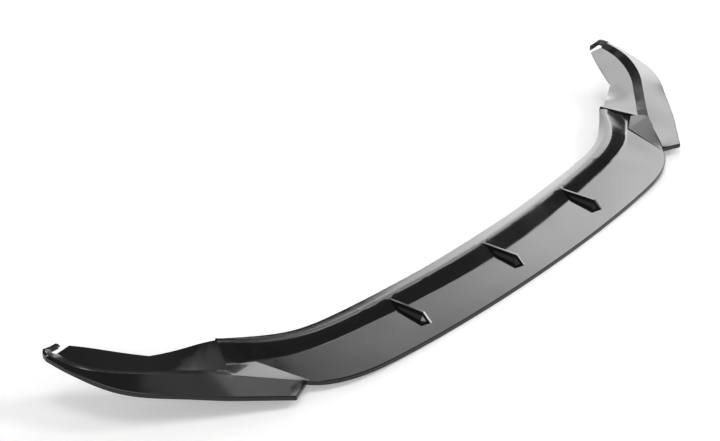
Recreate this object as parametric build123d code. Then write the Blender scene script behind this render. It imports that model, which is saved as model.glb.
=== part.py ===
from build123d import *
import os

os.makedirs("parts", exist_ok=True)

# Driving dimensions, in mm. X runs across the car, +Y to the rear, +Z up.
SKIN = 3.0              # wall of the moulding
RIM_HEIGHT = 8.0        # turned-down front and outer edge
RIM_WALL = 3.2          # thickness of that edge
CREST_ROUND = 10.0      # setback of the rounding where the wall turns into the rear flange
FOOT_ROUND = 4.0        # setback of the hollow rounding at the foot of the wall
BLOCK_DEPTH = 60.0      # how far the forming blocks reach down
STEP_RUN = 20.0         # plan width of the slope from the wing down to the shelf
FIN_X = 282.0           # side fins, left and right of the centre one
FIN_TOP = 4.5           # width of a fin along its ridge
FIN_WAIST = 6.5         # width of a fin where its steep upper sides end
FIN_STEEP = 7.5         # height of those upper sides
FIN_FOOT = 17.0         # width of a fin where it meets the blade
FIN_HEIGHT = 15.0       # ridge above the blade at the kink
FIN_RIDGE = 50.0        # foot of the wall to the kink of the ridge
FIN_LENGTH = 67.5       # foot of the wall to the front end of a fin
FIN_SHORTER = 8.0       # by which the centre fin is the shorter one
FIN_WALL = 2.0          # side wall of a hollow fin
SLOT_WIDTH = 11.5       # open slot at each wing tip
SLOT_DEPTH = 34.0
LIP_HEIGHT = 2.0        # turned-up lip along the end of each wing tip
CENTRE_STEPS = 8        # sections from the middle to the end of the centre part
WING_STEPS = 8          # sections along the swept part of the wing
END_X = 650.0           # where the centre part runs out beside the wing
SEAT_SHARE = 0.69       # the origin's place on the rear flange, from its crest to its rear edge


def guide(points, start=None):
    """Fair curve through a few measured points, starting square to the middle."""
    if start is None:
        return Edge.make_spline([Vector(*p) for p in points])
    far = Vector(*points[-1]) - Vector(*points[-2])
    return Edge.make_spline([Vector(*p) for p in points], [Vector(*start), far.normalized()])


def along(curve, share):
    return curve.position_at(share * curve.length, position_mode=PositionMode.LENGTH)


def at_x(curve, x):
    """Point of a guide at a given distance from the middle."""
    low, high = 0.0, 1.0
    for _ in range(40):
        mid = (low + high) / 2
        if along(curve, mid).X < x:
            low = mid
        else:
            high = mid
    return along(curve, high)


ACROSS = (1, 0, 0)
FRONT = guide([(0, 8.2, -1.2), (200, 13, -1.2), (400, 26.5, 1.9), (500, 42.5, 5.6), (560, 70.5, 8.9),
               (602, 108, 14), (651, 152, 17)], ACROSS)
FOOT = guide([(0, 101, 5.8), (200, 109.8, 6.7), (400, 130.4, 12.1), (500, 145.2, 17.2),
              (560, 167.2, 20.5), (602, 187.5, 23), (651, 212.5, 30.5)], ACROSS)
CREST = guide([(0, 139.2, 19.3), (200, 146.5, 20.3), (400, 160, 25.9), (500, 180.5, 31.6),
               (560, 210.5, 37), (602, 240, 42.5), (651, 268, 50)], ACROSS)
REAR = guide([(0, 165, 16.6), (200, 169.4, 17.6), (400, 182.5, 23.4), (500, 201, 30.1),
              (560, 233.4, 36.5), (602, 260, 41.8), (651, 292, 50)], ACROSS)


def edge_height(x, y):
    """Height of the wing's outer edge, which lies in one tilted plane."""
    return -24.7 + 0.036 * x + 0.17 * y


def on_wing(x, y, lift=0.0):
    return (x, y, edge_height(x, y) + lift)


NOTCH_IN, NOTCH_OUT = on_wing(580.5, 90.5, 0.4), on_wing(627, 74)
BEND_OUT, BEND_CREASE, BEND_SHELF = on_wing(702, 133), on_wing(670, 180, 2.5), (616.2, 260.4, 46.6)
OUTER = guide([BEND_OUT, on_wing(775, 199), on_wing(822, 244), on_wing(850, 289), on_wing(866, 352),
               on_wing(873, 432)], (0.76, 0.62, 0.13))
CREASE = guide([BEND_CREASE, on_wing(744, 238, 6.4), on_wing(802, 285, 6), on_wing(834, 322, 3.5),
                on_wing(856, 362, 1.5), on_wing(867, 432, 0.5)], (0.74, 0.62, 0.2))
SHELF = guide([BEND_SHELF, (729, 312, 48), (758, 351, 54), (789, 390, 63), (812, 437, 71.5)])
STEP_DROP = (3.0, 9.0, 8.0, 4.0)      # along the wing, from the bend to the tip


def polygon(points):
    return Wire.make_polygon([Vector(*p) for p in points], close=True)


def rounded(points, setbacks):
    """Closed outline whose named corners turn on a curve that starts a setback away."""
    points = [Vector(*p) for p in points]
    edges, last = [], points[0]
    for i in range(1, len(points) + 1):
        corner = points[i % len(points)]
        if i in setbacks:
            after = points[(i + 1) % len(points)]
            enter = corner + (last - corner).normalized() * setbacks[i]
            leave = corner + (after - corner).normalized() * setbacks[i]
            edges += [Edge.make_line(last, enter), Edge.make_bezier(enter, corner, leave)]
            last = leave
        else:
            edges.append(Edge.make_line(last, corner))
            last = corner
    return Wire(edges)


def down(point):
    return Vector(point.X, point.Y, -BLOCK_DEPTH)


def centre_section(x, side):
    front, foot, crest, rear = (at_x(c, x) for c in (FRONT, FOOT, CREST, REAR))
    ahead = foot + (front - foot) * ((foot.Y - front.Y + 30) / (foot.Y - front.Y))
    behind = crest + (rear - crest) * ((rear.Y - crest.Y + 15) / (rear.Y - crest.Y))
    wire = rounded([ahead, foot, crest, behind, down(behind), down(ahead)], {1: FOOT_ROUND, 2: CREST_ROUND})
    return wire if side > 0 else wire.mirror(Plane.YZ)


def centre_block():
    """Blade, wall and rear flange as one solid block under their top surface."""
    xs = [END_X * i / CENTRE_STEPS for i in range(CENTRE_STEPS + 1)]
    wires = [centre_section(x, -1) for x in xs[:0:-1]] + [centre_section(x, 1) for x in xs]
    return Solid.make_loft(wires, False)


def toward(a, b, dist, rise=0.0):
    """Point at a plan distance from b along the line from a to b."""
    way = Vector(b.X - a.X, b.Y - a.Y, 0).normalized()
    slope = (b.Z - a.Z) / (Vector(b.X - a.X, b.Y - a.Y, 0).length)
    return Vector(b.X + way.X * dist, b.Y + way.Y * dist, b.Z + slope * dist + rise)


def step_drop(share):
    a, b, c, d = STEP_DROP
    u = 1 - share
    return a * u ** 3 + 3 * b * u * u * share + 3 * c * u * share * share + d * share ** 3


def blade_section(outer, crease, run, drop):
    over = toward(crease, outer, 20)
    foot = Vector(*[crease.X, crease.Y, crease.Z])
    way = Vector(crease.X - outer.X, crease.Y - outer.Y, 0).normalized()
    foot = foot + way * (run * 1.2) - Vector(0, 0, drop * 1.2)
    return polygon([over, crease, foot, down(foot), down(over)])


def wing_blade_block():
    """The raised outer blade of the wing, with the slope down to the shelf."""
    wires = []
    for share in (-0.02, 0.5):
        outer = Vector(*NOTCH_OUT) * (1 - share) + Vector(*BEND_OUT) * share
        crease = Vector(*NOTCH_IN) * (1 - share) + Vector(*BEND_CREASE) * share
        wires.append(blade_section(outer, crease, 3.0 + 8 * max(share, 0), 12.0))
    for i in range(WING_STEPS + 1):
        share = i / WING_STEPS
        wires.append(blade_section(along(OUTER, share), along(CREASE, share), STEP_RUN, step_drop(share)))
    return Solid.make_loft(wires, False)


def shelf_block():
    """The lower shelf between the wing blade and the inner edge."""
    wires = []
    for i in range(WING_STEPS + 1):
        share = i / WING_STEPS
        outer, crease, inner = along(OUTER, share), along(CREASE, share), along(SHELF, share)
        way = Vector(crease.X - outer.X, crease.Y - outer.Y, 0).normalized()
        foot = crease + way * STEP_RUN - Vector(0, 0, step_drop(share))
        a, b = toward(inner, foot, 12), toward(foot, inner, 20)
        wires.append(polygon([a, b, down(b), down(a)]))
    return Solid.make_loft(wires, False)


def by_crease(share):
    """Point a hair outside and under the crease, so that the ramp and the wing cross there."""
    a, b = Vector(*NOTCH_IN), Vector(*BEND_CREASE)
    way = (b - a).normalized()
    return a + (b - a) * share + Vector(way.Y, -way.X, 0).normalized() * 1.5 - Vector(0, 0, 0.5)


# Ramp between the end of the blade and the wing: its low side and its high side
RAMP = [((576, 89, 11.4), by_crease(0.0)), ((602, 186.5, 23.4), by_crease(0.975)),
        ((650, 210, 30.5), by_crease(1.0))]


def ramp_block():
    """Twisted facet that lifts the blade's end up to the wing's crease."""
    wires = []
    for low, high in RAMP:
        low = Vector(*low)
        a, b = toward(high, low, 12, -5), toward(low, high, 8, -5)
        wires.append(polygon([a, low, high, b, down(b), down(a)]))
    return Solid.make_loft(wires, True)


def tall(face):
    return extrude(face, 400, dir=(0, 0, 1)).move(Location((0, 0, -200)))


def plan_region(points):
    return tall(Polygon(*points, align=None))


def form_block():
    """The solid whose top is the whole visible surface of the moulding."""
    blade = centre_block()
    behind = plan_region([(580, 316.4), (692, 145.6), (960, 145.6), (960, 500), (580, 500)])
    blade = blade - behind - mirror(behind, Plane.YZ)
    side = wing_blade_block() + shelf_block() + ramp_block()
    return blade + side + mirror(side, Plane.YZ)


# Plan of the front, notch, outer and end edges, from the middle to the inner corner of the tip
EDGE_PLAN = [(0, 8.2), (200, 13), (400, 26.5), (500, 42.5), (550, 63.5), (571, 80), (580.5, 90.5),
             (627, 74), (702, 133), (775, 199), (822, 244), (850, 289), (866, 352), (872, 410),
             (869, 420), (861, 427.5), (829, 431)]
NOTCH_START, NOTCH_END, WING_END = 6, 8, 13


def inward(by):
    """Corners of the edge plan, moved square to the edge into the part."""
    points = [Vector(*p) for p in EDGE_PLAN]
    moved = []
    for i, p in enumerate(points):
        before = (p - points[i - 1]).normalized() if i else Vector(1, 0)
        after = (points[i + 1] - p).normalized() if 0 < i < len(points) - 1 else before
        square = Vector(-before.Y, before.X)
        both = (square + Vector(-after.Y, after.X)).normalized()
        moved.append(p + both * (by / both.dot(square)))
    return moved


def edge_chain(by=0.0):
    """Front curve, notch, outer curve and tip as edges, at a given distance inside."""
    p = inward(by)
    front = Edge.make_spline(p[:NOTCH_START + 1], [Vector(1, 0), Vector(0.68, 0.73)])
    notch = Polyline(*p[NOTCH_START:NOTCH_END + 1])
    outer = Edge.make_spline(p[NOTCH_END:WING_END + 1], [Vector(0.78, 0.62), Vector(0.05, 1)])
    tip = Polyline(*p[WING_END:])
    return [front, *notch.edges(), outer, *tip.edges()], p[-1]


def mirrored_face(edges):
    return Face(Wire.combine(edges + [e.mirror(Plane.YZ) for e in edges])[0])


def outline_face():
    """Plan outline of the whole lip, built on one side and mirrored."""
    edges, end = edge_chain()
    corner = Polyline((end.X, end.Y), (813, 417))
    inner = Spline((813, 417), (789, 390), (758, 351), (729, 312))
    shelf = Polyline((729, 312), (620, 261.5), (611, 266.5))
    rear = Spline((611, 266.5), (602, 260), (560, 233.4), (500, 201), (400, 182.5), (200, 169.4), (0, 165),
                  tangents=[(-0.8, -0.6), (-1, 0)])
    return mirrored_face(edges + [e for c in (corner, inner, shelf, rear) for e in c.edges()])


def cavity_face():
    """Plan of the hollow underside: inside the rim, open to the rear and inner edges."""
    edges, end = edge_chain(RIM_WALL)
    behind = Polyline((end.X, end.Y), (800, end.Y + 3), (800, 480), (0, 480))
    return mirrored_face(edges + list(behind.edges()))


def fin(x, back, thin, low):
    """One fin: level ridge out of the wall, then a sloping front end."""
    front, foot, crest = (at_x(c, abs(x)) for c in (FRONT, FOOT, CREST))
    fall = (foot.Z - front.Z) / (foot.Y - front.Y)

    def section(ahead, height):
        """Cut square to Y, a given way ahead of the wall's foot and above the blade."""
        y, z = foot.Y - ahead + back, foot.Z - fall * (ahead - back) + height
        top, waist, base = FIN_TOP / 2 - thin, FIN_WAIST / 2 - thin, foot.Z - 20
        flare = (FIN_FOOT - FIN_WAIST) / 2 / (FIN_HEIGHT - FIN_STEEP)
        wide = waist + flare * (z - FIN_STEEP - base)
        return polygon([(x - top, y, z), (x + top, y, z), (x + waist, y, z - FIN_STEEP),
                        (x + wide, y, base), (x - wide, y, base), (x - waist, y, z - FIN_STEEP)])

    over = FIN_HEIGHT - low
    slope = FIN_HEIGHT / (FIN_LENGTH - FIN_RIDGE)
    kink = FIN_RIDGE - low * 0.7
    inside = crest.Y + 3 - foot.Y + back
    ends = [(-inside, over - fall * (inside + kink)), (kink, over), (kink + (over + 6) / slope, -6.0)]
    return Solid.make_loft([section(*e) for e in ends], True)


def tip_slot():
    """Open slot through the wing tip, square to the shelf's inner edge."""
    slot = SlotOverall(2 * SLOT_DEPTH, SLOT_WIDTH)
    return tall(Location((819, 421, 0), (0, 0, -9)) * slot)


def tip_lip(form):
    """Low turned-up lip along the end of a wing tip."""
    edge = plan_region([(826, 426), (858, 422.5), (864, 417), (866.5, 409), (880, 409), (880, 440), (826, 440)])
    return form.moved(Location((0, 0, LIP_HEIGHT))) & edge


def main():
    outline, form = outline_face(), form_block()
    lip = tip_lip(form)
    body = (form + lip + mirror(lip, Plane.YZ)) & tall(outline)
    region = tall(cavity_face())
    hollow = form.moved(Location((0, 1.5, -SKIN))) & region
    for x, back in ((-FIN_X, 0), (0.0, FIN_SHORTER), (FIN_X, 0)):
        body = body + fin(x, back, 0.0, 0.0)
        hollow = hollow + (fin(x, back, FIN_WALL, SKIN) & region)
    body = body - form.moved(Location((0, 0, -RIM_HEIGHT))) - hollow
    slot = tip_slot()
    body = body - slot - mirror(slot, Plane.YZ)
    seat = at_x(CREST, 0) + (at_x(REAR, 0) - at_x(CREST, 0)) * SEAT_SHARE
    body = body.moved(Location((0, -seat.Y, -seat.Z)))
    body.label = "splitter_lip"
    export_step(body, "parts/splitter_lip.step")
    print(body.is_valid, round(body.volume), body.bounding_box(), seat)


if __name__ == "__main__":
    main()
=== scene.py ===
import bmesh
import bpy
import math
from mathutils import Matrix, Vector


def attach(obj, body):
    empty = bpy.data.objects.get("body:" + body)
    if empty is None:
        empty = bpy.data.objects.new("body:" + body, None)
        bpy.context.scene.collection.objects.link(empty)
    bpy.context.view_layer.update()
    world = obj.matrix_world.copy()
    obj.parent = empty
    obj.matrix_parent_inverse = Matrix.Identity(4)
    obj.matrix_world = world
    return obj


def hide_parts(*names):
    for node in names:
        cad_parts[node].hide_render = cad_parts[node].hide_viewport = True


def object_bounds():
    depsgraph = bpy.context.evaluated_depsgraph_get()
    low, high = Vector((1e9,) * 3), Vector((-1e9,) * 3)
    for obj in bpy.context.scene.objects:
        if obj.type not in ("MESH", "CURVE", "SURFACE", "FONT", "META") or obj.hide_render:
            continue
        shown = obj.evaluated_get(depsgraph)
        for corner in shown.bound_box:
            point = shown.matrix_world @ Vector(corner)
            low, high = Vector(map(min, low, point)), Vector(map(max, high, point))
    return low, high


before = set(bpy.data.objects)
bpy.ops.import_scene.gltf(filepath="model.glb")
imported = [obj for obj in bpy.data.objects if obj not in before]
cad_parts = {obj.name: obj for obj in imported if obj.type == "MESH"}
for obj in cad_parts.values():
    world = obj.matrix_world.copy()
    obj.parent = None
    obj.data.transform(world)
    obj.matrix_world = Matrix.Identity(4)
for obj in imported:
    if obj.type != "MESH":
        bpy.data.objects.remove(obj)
cad_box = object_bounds()
lip_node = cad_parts["splitter_lip"]

# Camera of the photograph: place in metres, bearing and rise in degrees, lens in millimetres
CAMERA_PLACE = (-2.788227, -1.923431, 1.794870)
CAMERA_BEARING = -51.708
CAMERA_RISE = 27.429
CAMERA_LENS = 100.62
CAMERA_SENSOR = 36.0
CAMERA_RANGE = (0.05, 200.0)


# Materials and the sums in their shaders

def new_material(name):
    material = bpy.data.materials.new(name)
    material.use_nodes = True
    material.node_tree.nodes.clear()
    return material, material.node_tree


def put(value, socket, tree):
    """Links a node's first output or a socket to this socket, or sets the socket's own number."""
    if isinstance(value, bpy.types.Node):
        tree.links.new(value.outputs[0], socket)
    elif isinstance(value, bpy.types.NodeSocket):
        tree.links.new(value, socket)
    else:
        socket.default_value = value


def show(shader, tree, output_kind="ShaderNodeOutputMaterial"):
    tree.links.new(shader.outputs[0], tree.nodes.new(output_kind).inputs["Surface"])


class Sums:
    """Sums on the values of one shader tree. Each gives a node that further sums can take."""

    def __init__(self, tree):
        self.tree = tree

    def maths(self, operation, *values):
        node = self.tree.nodes.new("ShaderNodeMath")
        node.operation = operation
        for value, socket in zip(values, node.inputs):
            put(value, socket, self.tree)
        return node

    def fold(self, operation, values):
        first, *others = values
        for value in others:
            first = self.maths(operation, first, value)
        return first

    def times(self, *values):
        return self.fold("MULTIPLY", values)

    def plus(self, *values):
        return self.fold("ADD", values)

    def minus(self, value, less):
        return self.maths("SUBTRACT", value, less)

    def most(self, *values):
        return self.fold("MAXIMUM", values)

    def soft_step(self, value, reach, results):
        """Smooth change from one result to the other while the value goes through the reach."""
        node = self.tree.nodes.new("ShaderNodeMapRange")
        node.interpolation_type = "SMOOTHSTEP"
        names = ("Value", "From Min", "From Max", "To Min", "To Max")
        for name, number in zip(names, (value, *reach, *results)):
            put(number, node.inputs[name], self.tree)
        return node

    def rising(self, value, reach):
        return self.soft_step(value, reach, (0.0, 1.0))

    def falling(self, value, reach):
        return self.soft_step(value, reach, (1.0, 0.0))

    def band(self, value, reach):
        """Soft-edged band: 0 before its start, 1 from full to end, 0 again once it is gone."""
        start, full, end, gone = reach
        return self.times(self.rising(value, (start, full)), self.falling(value, (end, gone)))

    def patch(self, across, across_reach, up, up_reach):
        return self.times(self.band(across, across_reach), self.band(up, up_reach))

    def blend(self, share, without, full):
        """The first value where the share is 0, and the second where it is 1."""
        return self.plus(self.times(without, self.minus(1.0, share)), self.times(full, share))


# Gloss black moulded plastic

PLASTIC_COLOUR = (0.007, 0.007, 0.0075, 1.0)
PLASTIC_IOR = 1.47
ROUGHNESS = (0.07, 0.13)
HAZE = {"Scale": 9.0, "Detail": 3.0}
HAZE_SPREAD = (0.35, 0.70)
RIPPLE = {"Scale": 160.0, "Detail": 2.0}
RIPPLE_RELIEF = {"Strength": 0.05, "Distance": 0.0004}


def set_numbers(node, numbers):
    for name, number in numbers.items():
        node.inputs[name].default_value = number


def speckle(tree, numbers, coordinates):
    node = tree.nodes.new("ShaderNodeTexNoise")
    set_numbers(node, numbers)
    tree.links.new(coordinates, node.inputs["Vector"])
    return node


def gloss_black():
    """Black plastic whose gloss is a little hazier in places, over a very fine ripple."""
    material, tree = new_material("gloss_black_plastic")
    place = tree.nodes.new("ShaderNodeTexCoord").outputs["Object"]
    skin = tree.nodes.new("ShaderNodeBsdfPrincipled")
    set_numbers(skin, {"Base Color": PLASTIC_COLOUR, "IOR": PLASTIC_IOR})
    haze = speckle(tree, HAZE, place)
    put(Sums(tree).soft_step(haze, HAZE_SPREAD, ROUGHNESS), skin.inputs["Roughness"], tree)
    relief = tree.nodes.new("ShaderNodeBump")
    set_numbers(relief, RIPPLE_RELIEF)
    put(speckle(tree, RIPPLE, place), relief.inputs["Height"], tree)
    put(relief, skin.inputs["Normal"], tree)
    show(skin, tree)
    return material


# The moulding

# Where the wall turns into the rear flange: distance from the middle and place along Y
CREST_LINE = [(0.0, -0.018), (0.2, -0.0105), (0.4, 0.003), (0.5, 0.0235),
              (0.56, 0.0535), (0.602, 0.083), (0.66, 0.116)]
CREST_REACH = 0.014
SHARP_FROM = math.radians(14)         # an edge that turns by more is shaded sharp
CREST_SHARP_FROM = math.radians(50)   # the same on the crest, which is a soft rounding

MERGE_REACH = 0.00001
SPECK = 0.000001                      # edges shorter than this are closed up

RIM_ROUND = 0.0014
RIM_SEGMENTS = 2
TOP_FROM = 0.8                        # a top face's normal points at least this far upwards
UPRIGHT_WITHIN = 0.15                 # an upright face's normal points no further up or down
FRONT_FROM = -0.3                     # a front face's normal points at least this far along -Y
SHELF_START = -0.03                   # from here back, between the wings, the edges are inner ones
WING_FROM = 0.70                      # the wing's outer edge lies beyond this distance from the middle
TIP_START = 0.215                     # from here back the wing's outer edge stays sharp
NOTCH_CORNER = (0.579, -0.068)        # inner corner of the notch, left sharp with its short edges
NOTCH_REACH = 0.005


def crest_y(x):
    for (x0, y0), (x1, y1) in zip(CREST_LINE, CREST_LINE[1:]):
        if abs(x) <= x1:
            return y0 + (y1 - y0) * (abs(x) - x0) / (x1 - x0)
    return math.inf


def near_crest(place):
    return abs(place.y - crest_y(place.x)) < CREST_REACH


def middle_of(edge):
    return (edge.verts[0].co + edge.verts[1].co) / 2


def on_rim(edge):
    """Upper edge of the turned-down front and outer rim."""
    if len(edge.link_faces) != 2:
        return False
    top, side = sorted(edge.link_faces, key=lambda face: -face.normal.z)
    if top.normal.z < TOP_FROM or abs(side.normal.z) > UPRIGHT_WITHIN:
        return False
    middle = middle_of(edge)
    on_wing = abs(middle.x) > WING_FROM
    if not on_wing and middle.y > SHELF_START:
        return False
    if math.dist((abs(middle.x), middle.y), NOTCH_CORNER) < NOTCH_REACH:
        return False
    outward = on_wing and side.normal.x * middle.x > 0 and middle.y < TIP_START
    return side.normal.y < FRONT_FROM or outward


def shade_smooth(shape):
    for face in shape.faces:
        face.smooth = True
    for edge in shape.edges:
        limit = CREST_SHARP_FROM if near_crest(middle_of(edge)) else SHARP_FROM
        edge.smooth = len(edge.link_faces) == 2 and edge.calc_face_angle(0.0) < limit


def moulded_lip():
    """The lip's own surface with its facets joined, its rim rounded and all shaded as one moulding."""
    mesh = lip_node.data.copy()
    mesh.name = "lip_moulding"
    shape = bmesh.new()
    shape.from_mesh(mesh)
    bmesh.ops.remove_doubles(shape, verts=shape.verts, dist=MERGE_REACH)
    bmesh.ops.bevel(shape, geom=[edge for edge in shape.edges if on_rim(edge)], offset=RIM_ROUND,
                    offset_type="OFFSET", segments=RIM_SEGMENTS, profile=0.5, affect="EDGES",
                    clamp_overlap=False, material=-1)
    bmesh.ops.dissolve_degenerate(shape, dist=SPECK, edges=shape.edges)
    shade_smooth(shape)
    shape.to_mesh(mesh)
    shape.free()
    mesh.materials.clear()
    mesh.materials.append(gloss_black())
    lip = bpy.data.objects.new("lip_moulding", mesh)
    bpy.context.collection.objects.link(lip)
    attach(lip, "root")
    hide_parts("splitter_lip")
    off_crest = lip.vertex_groups.new(name="off_crest")
    off_crest.add([vert.index for vert in mesh.vertices if not near_crest(vert.co)], 1.0, "REPLACE")
    even = lip.modifiers.new("even_shading", "WEIGHTED_NORMAL")
    even.mode = "FACE_AREA"
    even.keep_sharp = True
    even.vertex_group = off_crest.name


# Floor

FLOOR_DROP = 0.0004      # gap under the lowest edge, so that nothing touches the floor
FLOOR_HALF = 60.0
FLOOR_COLOUR = (0.86, 0.86, 0.86, 1.0)
FLOOR_LIFT = 0.31        # what the floor adds where it is seen or mirrored


def stage_plane(name, corners, material):
    shape = bmesh.new()
    shape.faces.new([shape.verts.new(corner) for corner in corners])
    mesh = bpy.data.meshes.new(name)
    shape.to_mesh(mesh)
    shape.free()
    mesh.materials.append(material)
    plane = bpy.data.objects.new(name, mesh)
    bpy.context.collection.objects.link(plane)
    return plane


def pale_floor(height):
    """Matt white floor that keeps the lip's shadow and is lifted to white for the camera and in gloss."""
    material, tree = new_material("floor_white")
    sums = Sums(tree)
    matt = tree.nodes.new("ShaderNodeBsdfDiffuse")
    set_numbers(matt, {"Color": FLOOR_COLOUR})
    path = tree.nodes.new("ShaderNodeLightPath")
    seen = sums.most(*(path.outputs[f"Is {kind} Ray"] for kind in ("Camera", "Glossy", "Transmission")))
    lift = tree.nodes.new("ShaderNodeEmission")
    put(sums.times(seen, FLOOR_LIFT), lift.inputs["Strength"], tree)
    both = tree.nodes.new("ShaderNodeAddShader")
    put(matt, both.inputs[0], tree)
    put(lift, both.inputs[1], tree)
    show(both, tree)
    corners = [(x * FLOOR_HALF, y * FLOOR_HALF, height) for x, y in ((-1, -1), (1, -1), (1, 1), (-1, 1))]
    stage_plane("floor", corners, material)


# Softbox behind the lip: its place, and its light by side (rightwards, seen from the lip) and height

SOFTBOX_BEARING = 60.0               # from the lip to the softbox, from +Y towards +X
SOFTBOX_DISTANCE = 2.92
SOFTBOX_SIDES = (-1.3, 1.5)
SOFTBOX_HEIGHTS = (0.5, 6.8)
ROOM_GREY = 0.15                     # what the unlit cloth and the dark room give

# Main field, brighter towards the right
MAIN_LEFT = (-0.86, -0.6)
MAIN_RIGHT = (0.95, 1.05)
MAIN_FOOT = (0.45, 0.75)
MAIN_TOP = (3.5, 3.85)
MAIN_SHIFT = (-0.7, -0.1)
MAIN_STRENGTHS = (3.4, 5.8)
LEAN_FROM = 1.3                      # above this height the right edge leans outwards
LEAN = 0.3
FADE_HEIGHTS = (1.45, 2.5)           # the left part fades slowly upwards
FADED = 0.27
CRISP_HEIGHTS = (2.0, 2.25)          # the right part ends at once
CRISP_SIDES = (0.38, 0.6)            # where the left part turns into the right one
UPPER_SIDES = (0.1, 0.25)            # above these heights only what is left of these places is lit
UPPER_HEIGHTS = (2.3, 2.5)

# Softer and darker places in the main field
SHADED_SIDES = (0.0, 0.35, 0.5, 0.85)
SHADED_HEIGHTS = (0.8, 1.2, 1.35, 1.75)
SHADED_BY = 2.2
CORNER_SIDES = (-0.62, -0.45)
CORNER_HEIGHTS = (1.6, 1.8)
NOOK_SIDES = (-0.69, -0.62)
NOOK_HEIGHTS = (1.3, 1.42)

# Panel right of the middle, and a dim field beside and above it whose left edge moves in higher up
PANEL_SIDES = (0.0, 0.12, 0.36, 0.5)
PANEL_HEIGHTS = (2.0, 2.3, 3.3, 3.5)
PANEL_STRENGTH = 3.3
DIM_LEFT = (-0.95, -0.6)
DIM_HIGH_LEFT = (-0.5, -0.1)
DIM_RIGHT = (0.05, 0.2)
DIM_HEIGHTS = (2.6, 3.4, 5.0, 6.5)
DIM_HIGH_FROM = (3.7, 4.2)
DIM_STRENGTH = 0.7


def main_field(sums, side, height):
    fade = sums.soft_step(height, FADE_HEIGHTS, (1.0, FADED))
    upwards = sums.blend(sums.rising(side, CRISP_SIDES), fade, sums.falling(height, CRISP_HEIGHTS))
    upper = sums.most(sums.falling(height, UPPER_HEIGHTS), sums.falling(side, UPPER_SIDES))
    shaded = sums.patch(side, SHADED_SIDES, height, SHADED_HEIGHTS)
    strength = sums.minus(sums.soft_step(side, MAIN_SHIFT, MAIN_STRENGTHS), sums.times(shaded, SHADED_BY))
    corner = sums.times(sums.falling(side, CORNER_SIDES), sums.rising(height, CORNER_HEIGHTS))
    nook = sums.times(sums.falling(side, NOOK_SIDES), sums.rising(height, NOOK_HEIGHTS))
    lit = sums.minus(1.0, sums.most(corner, nook))
    lean = sums.times(sums.most(sums.minus(height, LEAN_FROM), 0.0), LEAN)
    across = sums.times(sums.rising(side, MAIN_LEFT), sums.falling(sums.minus(side, lean), MAIN_RIGHT))
    ends = sums.times(sums.rising(height, MAIN_FOOT), sums.falling(height, MAIN_TOP))
    return sums.times(across, ends, strength, lit, upwards, upper)


def dim_field(sums, side, height):
    high = sums.rising(height, DIM_HIGH_FROM)
    left = sums.blend(high, sums.rising(side, DIM_LEFT), sums.rising(side, DIM_HIGH_LEFT))
    across = sums.times(left, sums.falling(side, DIM_RIGHT))
    return sums.times(across, sums.band(height, DIM_HEIGHTS), DIM_STRENGTH)


def softbox_glow(sums, side, height):
    panel = sums.times(sums.patch(side, PANEL_SIDES, height, PANEL_HEIGHTS), PANEL_STRENGTH)
    return sums.most(main_field(sums, side, height), panel, dim_field(sums, side, height), ROOM_GREY)


def softbox():
    """Upright lit cloth behind the lip, which the camera doesn't see."""
    bearing = math.radians(SOFTBOX_BEARING)
    away = Vector((math.sin(bearing), math.cos(bearing), 0))
    along = Vector((math.cos(bearing), -math.sin(bearing), 0))
    material, tree = new_material("softbox_cloth")
    place = tree.nodes.new("ShaderNodeTexCoord").outputs["Object"]
    side = tree.nodes.new("ShaderNodeVectorMath")
    side.operation = "DOT_PRODUCT"
    put(place, side.inputs[0], tree)
    put(along, side.inputs[1], tree)
    parts = tree.nodes.new("ShaderNodeSeparateXYZ")
    put(place, parts.inputs[0], tree)
    glow = tree.nodes.new("ShaderNodeEmission")
    strength = softbox_glow(Sums(tree), side.outputs["Value"], parts.outputs["Z"])
    put(strength, glow.inputs["Strength"], tree)
    show(glow, tree)
    (left, right), (low, high) = SOFTBOX_SIDES, SOFTBOX_HEIGHTS
    corners = [away * SOFTBOX_DISTANCE + along * s + Vector((0, 0, h))
               for s, h in ((left, low), (right, low), (right, high), (left, high))]
    stage_plane("softbox", corners, material).visible_camera = False


# Room: bearings from +Y towards +X and rises above the floor, in degrees

LEFT_LAMP = {"bearings": (-121.5, -119, -112, -110), "rises": (24, 27, 33, 36), "strength": 22.0}
RIGHT_LAMP = {"bearings": (108, 113, 125, 129), "rises": (29, 32, 42, 46), "strength": 18.0}
OVERHEAD_RISES = (70, 78)
OVERHEAD_STRENGTH = 3.6
SOFTBOX_BEARINGS = (25, 40, 98, 112)  # the walls stay dark on the softbox's side
WALL_RISES = (40, 62)
WALL_STRENGTH = 0.45
HORIZON_RISES = (0.0, 2.0)


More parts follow.
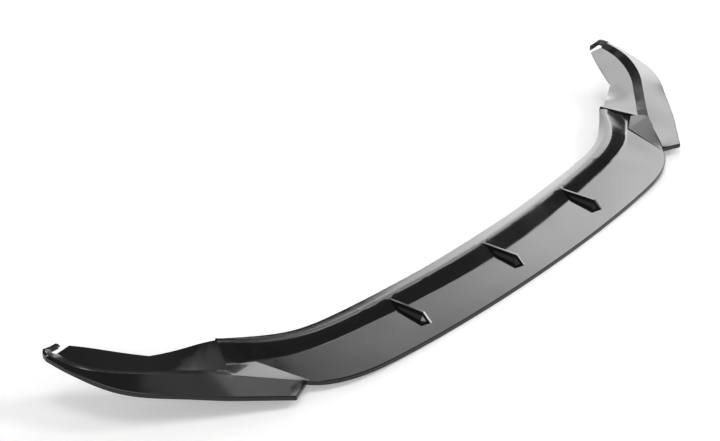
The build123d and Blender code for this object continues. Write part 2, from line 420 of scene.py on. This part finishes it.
def studio_room():
    """Dark room with two small lamps, grey walls, a soft light overhead and a white horizon."""
    world = bpy.data.worlds.new("studio")
    bpy.context.scene.world = world
    world.use_nodes = True
    tree = world.node_tree
    tree.nodes.clear()
    sums = Sums(tree)
    parts = tree.nodes.new("ShaderNodeSeparateXYZ")
    put(tree.nodes.new("ShaderNodeTexCoord").outputs["Generated"], parts.inputs[0], tree)
    x, y, z = parts.outputs
    rise = sums.times(sums.maths("ARCSINE", z), math.degrees(1))
    bearing = sums.times(sums.maths("ARCTAN2", x, y), math.degrees(1))
    lamps = [sums.times(sums.patch(bearing, lamp["bearings"], rise, lamp["rises"]), lamp["strength"])
             for lamp in (LEFT_LAMP, RIGHT_LAMP)]
    overhead = sums.soft_step(rise, OVERHEAD_RISES, (0.0, OVERHEAD_STRENGTH))
    other_sides = sums.minus(1.0, sums.band(bearing, SOFTBOX_BEARINGS))
    walls = sums.times(other_sides, sums.soft_step(rise, WALL_RISES, (WALL_STRENGTH, 0.0)))
    glow = sums.most(sums.plus(*lamps, overhead, walls, ROOM_GREY), sums.falling(rise, HORIZON_RISES))
    ground = tree.nodes.new("ShaderNodeBackground")
    put(glow, ground.inputs["Strength"], tree)
    show(ground, tree, "ShaderNodeOutputWorld")


def photo_camera():
    bearing, rise = math.radians(CAMERA_BEARING), math.radians(CAMERA_RISE)
    back = Vector((math.sin(bearing) * math.cos(rise), -math.cos(bearing) * math.cos(rise), math.sin(rise)))
    right = Vector((math.cos(bearing), math.sin(bearing), 0))
    turn = Matrix((right, back.cross(right), back)).transposed().to_4x4()
    lens = bpy.data.cameras.new("photo_camera")
    lens.sensor_width = CAMERA_SENSOR
    lens.lens = CAMERA_LENS
    lens.clip_start, lens.clip_end = CAMERA_RANGE
    camera = bpy.data.objects.new("photo_camera", lens)
    camera.matrix_world = Matrix.Translation(CAMERA_PLACE) @ turn
    bpy.context.collection.objects.link(camera)
    bpy.context.scene.camera = camera


moulded_lip()
pale_floor(cad_box[0][2] - FLOOR_DROP)
softbox()
studio_room()
photo_camera()
bpy.context.scene.view_settings.view_transform = "Standard"
